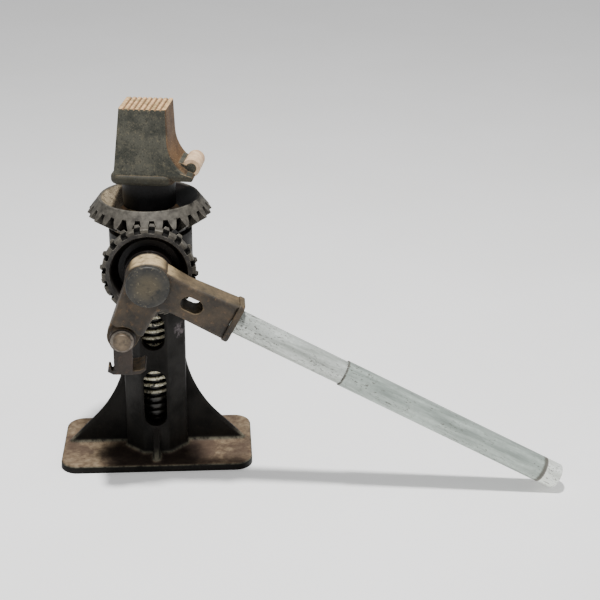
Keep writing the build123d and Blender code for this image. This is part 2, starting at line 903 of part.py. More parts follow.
def make_pawl_pin():
    """Shouldered pin, fast in the short arm, that the pawl swings on."""
    with BuildPart() as pin:
        with BuildSketch(pivot_plane(lever_back + 0.5)):
            Circle(pawl_pin_radius)
        extrude(amount=pawl_front + 1.5 - lever_back)
        with BuildSketch(pivot_plane(pawl_front + 1.4)):
            Circle(pawl_pin_head)
        extrude(amount=5)
        fillet(pin.edges().group_by(Axis.Y)[0], 1.8)
    return pin.part


def make_pawl_washer():
    """Thin washer under the head of the pawl pin."""
    with BuildPart() as washer:
        with BuildSketch(pivot_plane(pawl_front + 0.1)):
            Circle(12.5)
            Circle(pawl_pin_radius + 0.05, mode=Mode.SUBTRACT)
        extrude(amount=1.3)
    return washer.part


# ---- Handle -------------------------------------------------------------------------

def make_end_cap():
    """Cap with a plug that closes the handle's far end."""
    with BuildPart() as cap:
        with BuildSketch(handle_plane(cap_start)):
            Circle(cover_radius)
        extrude(amount=handle_end - cap_start)
        rims = cap.edges().filter_by(GeomType.CIRCLE)
        fillet(rims.sort_by(Axis((0, 0, 0), handle_plane(0).z_dir))[-1], 2)
        with BuildSketch(handle_plane(cap_start - 12)):
            Circle(pipe_bore - 0.05)
        extrude(amount=12)
    return cap.part


os.makedirs("parts", exist_ok=True)
save(make_standard(), "standard")
save(make_guide_screw(), "guide_screw")
save(make_guide_locknut(), "guide_screw_locknut")
save(make_race(bearing_floor, bearing_floor + race_thickness), "thrust_race_lower")
save(make_race(hub_bottom - race_thickness, hub_bottom), "thrust_race_upper")
save(make_balls(), "thrust_balls")
save(make_cage(), "ball_cage")
save(make_lifting_screw(), "lifting_screw")
save(make_screw_nut(), "screw_nut")
save(make_nut_keys(), "nut_keys")
save(make_crown_gear(), "crown_gear")
save(make_bevel_pinion(), "bevel_pinion")
save(make_pinion_stud(), "pinion_stud")
save(make_stud_lock_pin(), "stud_lock_pin")
save(make_stud_washer(), "stud_washer")
save(make_load_head(), "load_head")
save(make_head_thrust_washer(), "head_thrust_washer")
save(make_head_pins(), "head_retaining_pins")
save(make_toe_sleeve(), "toe_wear_sleeve")
save(make_lever_socket(), "lever_socket")
save(make_pawl(), "pawl")
save(make_pawl_pin(), "pawl_pin")
save(make_pawl_washer(), "pawl_washer")
save(tube_along_handle(pipe_start, cap_start, pipe_radius, pipe_bore), "handle_bar")
save(tube_along_handle(sleeve_start, cap_start, cover_radius, pipe_radius + 0.05),
     "handle_sleeve")
save(make_end_cap(), "handle_end_cap")
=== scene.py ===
# %% [markdown]
# A bevel-gear screw jack, dressed for its picture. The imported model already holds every
# piece at its real size and place, so this lesson only finishes it: it gives each piece
# a material that says how it was made and used, with the rust, dust and grease that no
# drawing shows, and sets up a floor, lights and a camera.

# %% Load the frame
import json
import math

import bpy
from mathutils import Matrix, Vector


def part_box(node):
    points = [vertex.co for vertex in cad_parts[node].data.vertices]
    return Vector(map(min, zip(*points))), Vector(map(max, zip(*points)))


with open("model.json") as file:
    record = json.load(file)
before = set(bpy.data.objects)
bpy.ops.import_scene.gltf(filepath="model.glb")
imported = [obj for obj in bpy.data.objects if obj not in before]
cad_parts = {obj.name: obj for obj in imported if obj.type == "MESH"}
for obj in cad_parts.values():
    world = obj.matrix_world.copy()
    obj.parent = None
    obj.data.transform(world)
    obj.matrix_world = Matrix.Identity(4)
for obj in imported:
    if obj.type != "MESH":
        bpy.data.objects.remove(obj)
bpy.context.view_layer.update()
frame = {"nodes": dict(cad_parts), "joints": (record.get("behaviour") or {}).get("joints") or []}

mm_per_m = 1000
print("nodes in the frame:", len(frame["nodes"]))


# %% [markdown]
# ## Writing shader maths as Python
# A material is a graph of nodes, and a long graph is hard to read. Wrapping a socket in
# a small class lets a line such as `1 - mask * 0.5` add the Math nodes by itself.

# %% A socket that does arithmetic
class Value:
    """A number that varies over a surface."""

    def __init__(self, finish, socket):
        self.finish = finish
        self.socket = socket

    def math(self, operation, first, second=0.0, clamp=False):
        settings = {"operation": operation, "use_clamp": clamp}
        return self.finish.node("ShaderNodeMath", settings, {0: first, 1: second})

    def __add__(self, other):
        return self.math("ADD", self, other)

    def __radd__(self, other):
        return self.math("ADD", other, self)

    def __sub__(self, other):
        return self.math("SUBTRACT", self, other)

    def __rsub__(self, other):
        return self.math("SUBTRACT", other, self)

    def __mul__(self, other):
        return self.math("MULTIPLY", self, other)

    def __rmul__(self, other):
        return self.math("MULTIPLY", other, self)

    def __pow__(self, other):
        return self.math("POWER", self, other)

    def clip(self):
        """The same number, held between 0 and 1."""
        return self.math("ADD", self, 0.0, clamp=True)

    def ramp(self, low, high):
        """A smooth step from 0 at low to 1 at high; low may be the larger."""
        settings = {"interpolation_type": "SMOOTHSTEP"}
        limits = {"Value": self, "From Min": low, "From Max": high}
        return self.finish.node("ShaderNodeMapRange", settings, limits)


# %% [markdown]
# ## One material at a time
# Every other node comes from one method, which takes the node's type, its settings and
# its sockets. The patterns below are the ones that old iron needs: mottling, pits,
# bright edges and dust on what faces up; one more paints shade into the corners.

# %% The material builder
ray_count = 6


class Finish:
    """A procedural material on the Principled shader, measured in millimetres."""

    def __init__(self, name, specular=0.5):
        self.material = bpy.data.materials.new(name)
        self.material.use_nodes = True
        self.tree = self.material.node_tree
        self.shader = self.tree.nodes["Principled BSDF"]
        self.shader.inputs["Specular IOR Level"].default_value = specular
        self.place = self.node("ShaderNodeTexCoord", out="Object")
        self.turned = self.node("ShaderNodeTexCoord", out="Normal")

    def node(self, kind, settings=None, sockets=None, out=0):
        made = self.tree.nodes.new(kind)
        for name, value in (settings or {}).items():
            setattr(made, name, value)
        for name, value in (sockets or {}).items():
            self.plug(made.inputs[name], value)
        return Value(self, made.outputs[out])

    def plug(self, socket, value):
        if isinstance(value, Value):
            self.tree.links.new(value.socket, socket)
        else:
            socket.default_value = value

    def parts(self, vector):
        """The x, y and z of a vector."""
        split = self.node("ShaderNodeSeparateXYZ", None, {0: vector})
        outputs = split.socket.node.outputs
        return [Value(self, output) for output in outputs]

    def stretched(self, scale, turn=(0, 0, 0)):
        """The place, turned and then scaled along its axes."""
        sockets = {"Vector": self.place, "Rotation": turn, "Scale": scale}
        return self.node("ShaderNodeMapping", {"vector_type": "TEXTURE"}, sockets)

    def noise(self, size, detail=5.0, rough=0.6, bend=0.0, place=None):
        """Cloudy noise whose patches are about size millimetres across."""
        sockets = {"Vector": place or self.place, "Scale": mm_per_m / size, "Detail": detail,
                   "Roughness": rough, "Distortion": bend}
        return self.node("ShaderNodeTexNoise", None, sockets)

    def cells(self, size):
        """Cell noise: distance to the nearest of many scattered points."""
        sockets = {"Vector": self.place, "Scale": mm_per_m / size}
        return self.node("ShaderNodeTexVoronoi", None, sockets, "Distance")

    def edges(self, radius, gain=5.0):
        """1 along convex and concave edges, from how a bevel would turn the normal."""
        rounded = self.node("ShaderNodeBevel", {"samples": ray_count}, {"Radius": radius / mm_per_m})
        true = self.node("ShaderNodeNewGeometry", out="Normal")
        dot = self.node("ShaderNodeVectorMath", {"operation": "DOT_PRODUCT"},
                        {0: rounded, 1: true}, out="Value")
        return ((1 - dot) * gain).clip()

    def shade_in_hollows(self, reach):
        """1 deep in corners and gaps, 0 on open surfaces: a mask for painted shade."""
        open_sky = self.node("ShaderNodeAmbientOcclusion", {"samples": ray_count, "only_local": True},
                             {"Distance": reach / mm_per_m}, out="AO")
        return 1 - open_sky

    def along(self, axis, start):
        """Distance in metres from a start point, measured along an axis."""
        shifted = self.node("ShaderNodeVectorMath", {"operation": "SUBTRACT"},
                            {0: self.place, 1: start})
        return self.node("ShaderNodeVectorMath", {"operation": "DOT_PRODUCT"},
                         {0: shifted, 1: axis}, out="Value")

    def blend(self, mask, under, over):
        """One colour over another where the mask is 1."""
        sockets = {0: mask, 6: under, 7: over}
        return self.node("ShaderNodeMix", {"data_type": "RGBA"}, sockets, out=2)

    def bump(self, height, depth, rounding=0.0, strength=1.0):
        """Raise the surface by depth millimetres where height is 1, over softened edges."""
        sockets = {"Height": height, "Distance": depth / mm_per_m, "Strength": strength}
        if rounding:
            sockets["Normal"] = self.node("ShaderNodeBevel", {"samples": ray_count},
                                          {"Radius": rounding / mm_per_m})
        self.plug(self.shader.inputs["Normal"], self.node("ShaderNodeBump", None, sockets))

    def use(self, colour, roughness, metallic=None):
        self.plug(self.shader.inputs["Base Color"], colour)
        self.plug(self.shader.inputs["Roughness"], roughness)
        if metallic is not None:
            self.plug(self.shader.inputs["Metallic"], metallic)
        return self.material


def rgb(red, green, blue):
    """A colour as a painter would read it, 0 to 255, turned into linear light."""
    def linear(level):
        share = level / 255
        return share / 12.92 if share <= 0.04045 else ((share + 0.055) / 1.055) ** 2.4
    return (linear(red), linear(green), linear(blue), 1.0)


print("a mid rust in linear light:", [round(c, 3) for c in rgb(110, 72, 48)])


# %% [markdown]
# ## The casting
# The base, column and housing are one grey-iron casting. Decades of gear oil have
# blackened the column, while the plate's top has stayed dry, so it is brown with rust
# and dust. The two could be two materials on two sets of faces, but real dirt has no such
# edge. Height and the way the surface faces are masks that blend them softly instead. A
# dark patch over the middle of the plate's front is partly oil spilt from the pinion and
# partly a painted shadow of the gears and lever above it.

# %% Oily black casting with a dusty plate
plate_level = (0.026, 0.012)
shadow_and_oil_middle = -0.03
shadow_and_oil_radius = (0.086, 0.062)
scuff_across = (0.022, 0.026, 0.036, 0.032)
scuff_up = (0.150, 0.156, 0.172, 0.164)


def make_casting():
    finish = Finish("oily black casting", specular=0.12)
    x, y, z = finish.parts(finish.place)
    facing_z = finish.parts(finish.turned)[2]
    patches = finish.noise(45, detail=6, rough=0.62)
    mottle = finish.noise(8, detail=6, rough=0.65)
    grain = finish.noise(1.6, detail=3, rough=0.6)
    corner_shade = finish.shade_in_hollows(16).ramp(0.3, 0.8)
    rims = finish.edges(1.2)

    iron = finish.blend(patches.ramp(0.35, 0.7), rgb(8, 7, 5), rgb(19, 16, 12))
    iron = finish.blend(mottle.ramp(0.56, 0.8) * 0.45, iron, rgb(38, 31, 23))
    streaks = finish.noise(11, detail=5, place=finish.stretched((1, 1, 7)))
    iron = finish.blend(streaks.ramp(0.56, 0.74) * 0.45, iron, rgb(31, 26, 22))
    low = z.ramp(*plate_level)
    plate = facing_z.ramp(0.55, 0.92) * low
    dust = finish.blend(mottle.ramp(0.3, 0.75), rgb(92, 76, 61), rgb(140, 122, 98))
    stain = finish.noise(38, detail=5, bend=0.4).ramp(0.46, 0.62)
    dust = finish.blend(stain * 0.8, dust, rgb(74, 60, 51))
    dust = finish.blend(grain.ramp(0.58, 0.72) * 0.6, dust, rgb(66, 52, 42))
    ledge = facing_z.ramp(0.2, 0.6) * low * mottle.ramp(0.3, 0.6)
    colour = finish.blend(ledge * 0.6, iron, rgb(112, 108, 92))
    colour = finish.blend(plate * (0.7 + 0.3 * patches.ramp(0.25, 0.6)), colour, dust)
    # Painted shadow of the gears and lever, mixed with spilt oil: the plate's front middle goes dark.
    forward = y - shadow_and_oil_middle
    shadow_and_oil = (x * x + forward * forward) ** 0.5
    shadow_and_oil = (shadow_and_oil + 0.03 * patches).ramp(*shadow_and_oil_radius) * y.ramp(0.01, -0.02)
    colour = finish.blend(shadow_and_oil * plate * 0.92, colour, rgb(30, 22, 19))
    worn = rims * mottle.ramp(0.4, 0.62)
    colour = finish.blend(worn * (0.12 + 0.4 * low), colour, rgb(112, 102, 90))
    scuff = mottle.ramp(0.45, 0.6) * x.ramp(*scuff_across[:2]) * x.ramp(*scuff_across[2:])
    scuff = scuff * z.ramp(*scuff_up[:2]) * z.ramp(*scuff_up[2:]) * y.ramp(0, -0.02)
    colour = finish.blend(scuff * 0.8, colour, rgb(104, 96, 98))
    # Painted shade: corners and hollows of the casting darken to near black.
    colour = finish.blend(corner_shade * 0.75, colour, rgb(12, 10, 9))
    finish.bump(mottle * 0.6 + grain * 0.4, 0.55, rounding=1.2, strength=0.6)
    oily = (1 - plate) * patches.ramp(0.3, 0.6)
    rough = 0.72 - 0.3 * oily + 0.14 * mottle
    return finish.use(colour, rough.clip())


casting = make_casting()
print("nodes in the casting's material:", len(casting.node_tree.nodes))


# %% [markdown]
# ## The gears
# Both gears are cast steel. Rolling contact keeps the teeth and the crown's rim a worn
# grey, and the oil thrown off them dries black in the bowl and the dish. The zones could
# be chosen face by face, but a gear is round, so the distance from its axis separates
# them for every tooth at once. Dust has settled on one side of the crown's bowl. Shade is
# painted too: near black in the gaps between the teeth, and a darker front ring on the pinion.

# %% Worn gear steel, dark inside a given radius
edge_softness = 0.0008
bowl_softness = 0.002
dusty_span = (-0.022, -0.046)


def make_gear_steel(name, radius, dark_inside, teeth_from, face_tone, dusty_side):
    finish = Finish(name, specular=0.25)
    x = finish.parts(finish.place)[0]
    mottle = finish.noise(7, detail=6, rough=0.65)
    patches = finish.noise(28, detail=5)
    grain = finish.noise(1.1, detail=3)
    gap_shade = finish.shade_in_hollows(8).ramp(0.16, 0.42)
    rims = finish.edges(0.9)
    out = radius(finish)
    steel = finish.blend(mottle.ramp(0.3, 0.75), rgb(56, 53, 48), rgb(96, 92, 84))
    steel = finish.blend(patches.ramp(0.5, 0.75) * 0.35, steel, rgb(62, 56, 50))
    steel = finish.blend(grain.ramp(0.58, 0.72) * 0.4, steel, rgb(50, 44, 40))
    face = finish.blend(mottle.ramp(0.35, 0.75), face_tone, rgb(70, 66, 62))
    teeth = out.ramp(teeth_from - edge_softness, teeth_from + edge_softness)
    colour = finish.blend(teeth, face, steel)
    colour = finish.blend(rims * mottle.ramp(0.3, 0.6) * 0.75, colour, rgb(150, 144, 132))
    oil = finish.blend(patches.ramp(0.35, 0.7), rgb(7, 5, 4), rgb(20, 12, 10))
    # Painted shade: the deep gaps between the teeth go near black.
    colour = finish.blend(gap_shade * 0.97, colour, rgb(9, 8, 7))
    inside = out.ramp(dark_inside, dark_inside - bowl_softness)
    colour = finish.blend(inside, colour, oil)
    dusty = inside * x.ramp(*dusty_span) * dusty_side * (0.35 + 0.65 * mottle.ramp(0.3, 0.6))
    dust = finish.blend(grain.ramp(0.4, 0.65), rgb(172, 156, 128), rgb(96, 82, 66))
    colour = finish.blend(dusty, colour, dust)
    finish.bump(mottle * 0.5 + grain * 0.5, 0.25, rounding=0.7, strength=0.55)
    rough = 0.44 + 0.24 * mottle - 0.1 * inside + 0.3 * dusty
    return finish.use(colour, rough.clip(), metallic=teeth * 0.35 * (1 - gap_shade))


# %% Distance from each gear's axis
def crown_radius(finish):
    x, y, _ = finish.parts(finish.place)
    return (x * x + y * y) ** 0.5


gear_height = next(j for j in frame["joints"] if j["name"] == "pinion_spin")["pos_m"][2]


def pinion_radius(finish):
    x, _, z = finish.parts(finish.place)
    up = z - gear_height
    return (x * x + up * up) ** 0.5


crown_bowl = 0.0535
pinion_dish = 0.0415
pinion_teeth_from = 0.0466
crown_steel = make_gear_steel("crown gear steel", crown_radius, crown_bowl, crown_bowl,
                              rgb(74, 70, 65), dusty_side=0.9)
# The pinion's darker face tone is painted shade on its front ring.
pinion_steel = make_gear_steel("pinion steel", pinion_radius, pinion_dish,
                               pinion_teeth_from, rgb(38, 36, 34), dusty_side=0.0)
print("gear centre height:", round(gear_height, 4))


# %% [markdown]
# ## The lever and the pawl
# These are rough castings that hands and the pipe have rubbed. The rust is olive-brown,
# the top of the boss is dusty tan, and shade is painted dark into the corners. Sculpting the
# rough skin would need a very fine mesh, so noise and small pits raise it as bump.

# %% Olive-brown rusted castings
dust_fade = 0.02


def make_rusty_cast(name, deep, mid, pale, dusty, dusty_to):
    """Rust with a dusty top; the dust thins out beyond dusty_to metres to the right."""
    finish = Finish(name, specular=0.4)
    x = finish.parts(finish.place)[0]
    facing_z = finish.parts(finish.turned)[2]
    patches = finish.noise(26, detail=6, rough=0.6, bend=0.3)
    mottle = finish.noise(6, detail=6, rough=0.68)
    grain = finish.noise(1.3, detail=4, rough=0.65)
    pits = finish.cells(3.2)
    corner_shade = finish.shade_in_hollows(12).ramp(0.25, 0.8)
    rims = finish.edges(1.3)
    colour = finish.blend(patches.ramp(0.35, 0.68), deep, mid)
    colour = finish.blend(mottle.ramp(0.52, 0.78) * 0.8, colour, pale)
    colour = finish.blend(grain.ramp(0.6, 0.75) * 0.5, colour, deep)
    topside = facing_z.ramp(0.55, 0.92) * (0.35 + 0.65 * mottle.ramp(0.3, 0.6))
    nearby = 0.14 + 0.86 * x.ramp(dusty_to + dust_fade, dusty_to)
    colour = finish.blend(topside * nearby * 0.9, colour, dusty)
    colour = finish.blend(rims * mottle.ramp(0.3, 0.6) * 0.28, colour, dusty)
    # Painted shade: corners and hollows darken towards near black.
    colour = finish.blend(corner_shade * 0.8, colour, rgb(18, 15, 12))
    height = mottle * 0.5 + grain * 0.3 + pits.ramp(0.1, 0.35) * 0.2
    finish.bump(height, 0.85, rounding=1.3, strength=0.85)
    return finish.use(colour, (0.5 + 0.3 * mottle).clip(), metallic=rims * 0.25)


lever_rust = make_rusty_cast("lever rust", rgb(32, 27, 20), rgb(66, 54, 39), rgb(106, 82, 56),
                             rgb(192, 168, 126), dusty_to=0.017)
pawl_rust = make_rusty_cast("pawl rust", rgb(25, 19, 15), rgb(48, 37, 28), rgb(74, 57, 42),
                            rgb(112, 96, 74), dusty_to=0.1)
print("nodes in the lever's material:", len(lever_rust.node_tree.nodes))


# %% [markdown]
# ## The load head
# The front of the head is dark and greenish, its sides are rusty, and the ribbed top is
# rubbed to the colour of bare wood by the loads that it has lifted. The skirt below the
# flange is black with grease. One material holds all of this, because the head is one
# casting: its facing tells front from side, and height tells the top from the skirt.

# %% Two-toned load head
head_low, head_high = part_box("load_head")
head_top = head_high[2]
head_bottom = head_low[2]
ribbed_levels = (head_top - 0.004, head_top - 0.0015)
groove_upper = (head_top - 0.0002, head_top - 0.0011)
groove_lower = (head_top - 0.006, head_top - 0.003)
skirt_levels = (head_bottom + 0.031, head_bottom + 0.029)
flange_shade_levels = (head_bottom + 0.0425, head_bottom + 0.0395)


def make_head_iron():
    finish = Finish("load head iron", specular=0.22)
    z = finish.parts(finish.place)[2]
    facing_x, _, facing_z = finish.parts(finish.turned)
    patches = finish.noise(20, detail=6, rough=0.62)
    mottle = finish.noise(5, detail=6, rough=0.68)
    grain = finish.noise(1.2, detail=4)
    pits = finish.cells(2.6)
    rims = finish.edges(1.3)
    corner_shade = finish.shade_in_hollows(10).ramp(0.3, 0.85)
    front = finish.blend(patches.ramp(0.35, 0.65), rgb(50, 51, 45), rgb(74, 73, 64))
    chips = finish.noise(1.9, detail=4, rough=0.7)
    front = finish.blend(mottle.ramp(0.5, 0.72) * 0.45, front, rgb(98, 92, 74))
    front = finish.blend(chips.ramp(0.57, 0.68) * 0.5, front, rgb(122, 112, 90))
    front = finish.blend(chips.ramp(0.44, 0.34) * 0.75, front, rgb(22, 22, 19))
    front = finish.blend(grain.ramp(0.6, 0.74) * 0.7, front, rgb(34, 32, 27))
    side = finish.blend(patches.ramp(0.3, 0.65), rgb(60, 44, 29), rgb(98, 74, 50))
    side = finish.blend(mottle.ramp(0.5, 0.72) * 0.7, side, rgb(48, 38, 29))
    side = finish.blend(chips.ramp(0.57, 0.63) * 0.6, side, rgb(150, 128, 96))
    rusty = facing_x.ramp(0.35, 0.75)
    colour = finish.blend(rusty, front, side)
    topside = facing_z.ramp(0.5, 0.9) * z.ramp(*ribbed_levels)
    top = finish.blend(mottle.ramp(0.35, 0.65), rgb(130, 114, 76), rgb(214, 170, 124))
    top = finish.blend(chips.ramp(0.56, 0.62) * 0.6, top, rgb(226, 194, 154))
    groove = z.ramp(*groove_upper) * z.ramp(*groove_lower)
    colour = finish.blend(topside, colour, top)
    colour = finish.blend(groove * facing_z.ramp(0.2, 0.6) * 0.7, colour, rgb(88, 50, 38))
    colour = finish.blend(rims * mottle.ramp(0.28, 0.55) * 0.85, colour, rgb(158, 132, 98))
    skirt = z.ramp(*skirt_levels)
    # Painted shade on the flange: from this level down the head is darkened in blotches.
    flange_shade = z.ramp(*flange_shade_levels) * mottle.ramp(0.25, 0.5)
    colour = finish.blend(flange_shade * 0.6, colour, rgb(42, 38, 28))
    colour = finish.blend(skirt, colour, finish.blend(mottle.ramp(0.5, 0.7), rgb(5, 4, 4),
                                                      rgb(14, 12, 11)))
    # Painted shade: corners and hollows of the head darken towards near black.
    colour = finish.blend(corner_shade * 0.75, colour, rgb(18, 15, 12))
    finish.bump(mottle * 0.5 + grain * 0.3 + pits.ramp(0.1, 0.4) * 0.2, 0.5, rounding=1.3,
                strength=0.6)
    rough = 0.55 + 0.25 * mottle - 0.2 * skirt
    return finish.use(colour, rough.clip())


head_iron = make_head_iron()
print("head height:", round(head_top - head_bottom, 4))


# %% [markdown]
# ## The screw
# The screw is dark with oil, and pale grease has dried along the crests of its thread.
# Grease could be lumps of its own, but it is only a thin film, so the distance from the
# screw's axis finds the crests and noise breaks the film up.

# %% Greased screw thread
screw_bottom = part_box("lifting_screw")[0][2]
crest_radii = (0.0195, 0.0212)
greased_from = (screw_bottom + 0.050, screw_bottom + 0.075)


def make_greased_screw():
    finish = Finish("greased screw")
    x, y, z = finish.parts(finish.place)
    out = (x * x + y * y) ** 0.5
    smears = finish.noise(9, detail=5, rough=0.6, bend=0.5)
    fine = finish.noise(2.0, detail=4)
    steel = finish.blend(smears.ramp(0.35, 0.7), rgb(10, 9, 8), rgb(34, 31, 26))
    grease = finish.blend(fine.ramp(0.35, 0.65), rgb(176, 166, 130), rgb(250, 246, 222))
    crests = out.ramp(*crest_radii)
    reach = z.ramp(*greased_from)
    creamy = crests * reach * smears.ramp(0.38, 0.48) * fine.ramp(0.25, 0.45)
    colour = finish.blend(creamy, steel, grease)
    finish.bump(smears * 0.7 + fine * 0.3, 0.8, strength=0.5)
    rough = 0.3 + 0.3 * creamy
    return finish.use(colour, rough.clip(), metallic=0.4 * (1 - creamy))


greased_screw = make_greased_screw()
print("screw starts at height:", round(screw_bottom, 4))


# %% [markdown]
# ## The stud and the pawl's pin
# Their heads are forged: dark grey, with a warmer centre where rust has set in, and fine
# scratches. A ring of noise round each centre gives that without modelling any of it.

# %% Forged heads
def make_forged(name, centre, spread, dark, mid, warm):
    finish = Finish(name)
    x, _, z = finish.parts(finish.place)
    across = x - centre[0]
    up = z - centre[2]
    out = (across * across + up * up) ** 0.5
    patches = finish.noise(14, detail=6, rough=0.62)
    mottle = finish.noise(4, detail=6, rough=0.66)
    scratches = finish.noise(3, detail=3, place=finish.stretched((1, 1, 0.08), (0, 0.9, 0)))
    rims = finish.edges(1.0)
    colour = finish.blend(patches.ramp(0.35, 0.65), dark, mid)
    middle = out.ramp(spread, spread * 0.25) * patches.ramp(0.3, 0.55)
    colour = finish.blend(middle * 0.75, colour, warm)
    colour = finish.blend(mottle.ramp(0.55, 0.72) * 0.6, colour, rgb(128, 118, 96))
    colour = finish.blend(scratches.ramp(0.58, 0.7) * 0.5, colour, dark)
    colour = finish.blend(rims * mottle.ramp(0.3, 0.55) * 0.7, colour, rgb(140, 138, 132))
    finish.bump(mottle * 0.6 + scratches * 0.4, 0.45, strength=0.6)
    rough = 0.42 + 0.25 * mottle
    return finish.use(colour, rough.clip(), metallic=0.35)


stud_low, stud_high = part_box("pinion_stud")
stud_centre = [(a + b) / 2 for a, b in zip(stud_low, stud_high)]
pin_low, pin_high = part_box("pawl_pin")
pin_centre = [(a + b) / 2 for a, b in zip(pin_low, pin_high)]
stud_steel = make_forged("forged stud", stud_centre, 0.021, rgb(34, 34, 32), rgb(56, 54, 49),
                         rgb(84, 75, 56))
pin_steel = make_forged("forged pawl pin", pin_centre, 0.010, rgb(68, 58, 47),
                        rgb(98, 84, 68), rgb(126, 110, 88))
print("stud centre:", [round(c, 4) for c in stud_centre])


# %% [markdown]
# ## The hidden metals
# The nut, bearing, keys and pins hardly show from outside, so one short recipe serves
# them all. Each differs only in its two colours, its grain and how much it shines.

# %% Plain steel, bronze and brass
def make_plain_metal(name, dark, light, size, rough_from, metallic):
    finish = Finish(name)
    mottle = finish.noise(size, detail=5, rough=0.6)
    grain = finish.noise(size / 5, detail=3)
    stains = finish.noise(size * 3, detail=4).ramp(0.5, 0.75)
    colour = finish.blend(mottle.ramp(0.3, 0.7), dark, light)
    colour = finish.blend(stains * 0.5, colour, rgb(60, 46, 34))
    finish.bump(grain, 0.1, rounding=0.3, strength=0.4)
    return finish.use(colour, (rough_from + 0.3 * mottle).clip(), metallic=metallic)


dull_steel = make_plain_metal("dull steel", rgb(84, 78, 72), rgb(126, 118, 108), 4, 0.35, 0.7)
bearing_steel = make_plain_metal("bearing steel", rgb(120, 118, 116), rgb(170, 168, 165), 6,
                                 0.15, 0.95)
bronze = make_plain_metal("bronze nut", rgb(96, 70, 40), rgb(140, 104, 60), 8, 0.3, 0.8)
brass = make_plain_metal("brass cage", rgb(150, 120, 66), rgb(186, 152, 88), 8, 0.25, 0.9)
print("nodes in each plain metal:", len(brass.node_tree.nodes))


# %% [markdown]
# ## The toe sleeve
# A strip of spring steel rolled round the toe, rubbed to a pale tan skin. It is smooth, so
# two scales of stain and a darker edge are enough.

# %% Pale tan sleeve
def make_tan_sleeve():
    finish = Finish("tan sleeve")
    mottle = finish.noise(6, detail=6, rough=0.6)
    stains = finish.noise(14, detail=4, bend=0.4)
    rims = finish.edges(1.0)
    corner_shade = finish.shade_in_hollows(6).ramp(0.35, 0.85)
    colour = finish.blend(mottle.ramp(0.3, 0.7), rgb(186, 154, 120), rgb(222, 192, 156))
    colour = finish.blend(stains.ramp(0.55, 0.75) * 0.6, colour, rgb(150, 112, 84))
    colour = finish.blend(rims * 0.5, colour, rgb(128, 92, 62))
    # Painted shade: corners and hollows of the sleeve darken to dark brown.
    colour = finish.blend(corner_shade * 0.8, colour, rgb(52, 36, 24))
    finish.bump(mottle, 0.3, strength=0.4)
    return finish.use(colour, (0.45 + 0.25 * mottle).clip())


tan_sleeve = make_tan_sleeve()
print("sleeve nodes:", len(tan_sleeve.node_tree.nodes))


# %% [markdown]
# ## The pipe
# Zinc makes the pipe pale and slightly green. The streaks on it run along its length,
# because it is pushed in and pulled out of the socket, and dark specks gather beside the
# lip and at each joint. Noise stretched along the pipe needs its slope, and the boxes of
# the bar and its sleeve give that.

# %% Measure the handle
def box_middle(node):
    low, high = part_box(node)
    return (Vector(low) + Vector(high)) / 2


def tube_length(node, axis):
    """Length of a slanting tube, from the width and height of its box."""
    low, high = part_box(node)
    width, height = high[0] - low[0], high[2] - low[2]
    disc_width, disc_height = math.sqrt(1 - axis.x ** 2), math.sqrt(1 - axis.z ** 2)
    run, rise = abs(axis.x), abs(axis.z)
    return (width * disc_height - height * disc_width) / (run * disc_height - rise * disc_width)


handle_axis = (box_middle("handle_sleeve") - box_middle("handle_bar")).normalized()
handle_slope = -math.asin(handle_axis.z)
bar_length = tube_length("handle_bar", handle_axis)
sleeve_length = tube_length("handle_sleeve", handle_axis)
bar_start = box_middle("handle_bar") - handle_axis * bar_length / 2
print("bar and sleeve lengths:", round(bar_length, 4), round(sleeve_length, 4))


# %% Galvanised zinc
def make_galvanised(name, pale, mid, dirt, specks_from, bands):
    """Zinc with streaks, specks and dark bands: (place, width, strength) along the bar."""
    finish = Finish(name)
    along = finish.along(handle_axis, bar_start)
    streaks = finish.noise(7, detail=6, rough=0.65,
                           place=finish.stretched((9, 1, 1), (0, handle_slope, 0)))
    specks = finish.noise(2.0, detail=5, rough=0.7,
                          place=finish.stretched((2.2, 1, 1), (0, handle_slope, 0)))
    spangle = finish.cells(5)
    clouds = finish.noise(34, detail=4)
    colour = finish.blend(streaks.ramp(0.3, 0.7), mid, pale)
    colour = finish.blend(spangle.ramp(0.15, 0.6) * 0.25, colour, mid)
    speck = specks.ramp(specks_from, specks_from + 0.05) * clouds.ramp(0.38, 0.6)
    for place, width, strength in bands:
        near = along.ramp(place - width, place - width * 0.4)
        near = near * along.ramp(place + width, place + width * 0.4)
        speck = (speck + near * specks.ramp(0.62 - 0.3 * strength, 0.7 - 0.3 * strength)).clip()
    colour = finish.blend(streaks.ramp(0.64, 0.78) * 0.25, colour, rgb(104, 104, 98))
    colour = finish.blend(speck * 0.9, colour, dirt)
    finish.bump(streaks * 0.4 + specks * 0.6, 0.2, strength=0.5)
    rough = 0.3 + 0.16 * streaks + 0.3 * speck
    return finish.use(colour, rough.clip(), metallic=0.28 * (1 - speck))


sleeve_start = bar_length - sleeve_length
lip_dirt = (0.040, 0.030, 0.3)
bar_joint_dirt = (sleeve_start, 0.0016, 0.8)
sleeve_joint_dirt = (sleeve_start, 0.0016, 0.9)
sleeve_end_dirt = (bar_length, 0.005, 1.0)
cap_dirt = (bar_length, 0.002, 1.2)
pipe_zinc = make_galvanised("galvanised pipe", rgb(206, 211, 205), rgb(152, 157, 150),
                            rgb(64, 60, 54), 0.56, [lip_dirt, bar_joint_dirt])
sleeve_zinc = make_galvanised("galvanised sleeve", rgb(186, 196, 188), rgb(136, 145, 138),
                              rgb(78, 74, 66), 0.57, [sleeve_joint_dirt, sleeve_end_dirt])
cap_zinc = make_galvanised("galvanised end cap", rgb(244, 248, 242), rgb(208, 212, 202),
                           rgb(74, 64, 56), 0.55, [cap_dirt])
print("sleeve starts along the bar at:", round(sleeve_start, 4))


# %% [markdown]
# ## Who wears what
# The record's slots group the nodes, but two nodes of one slot can need different dirt,
# so the list is by node.

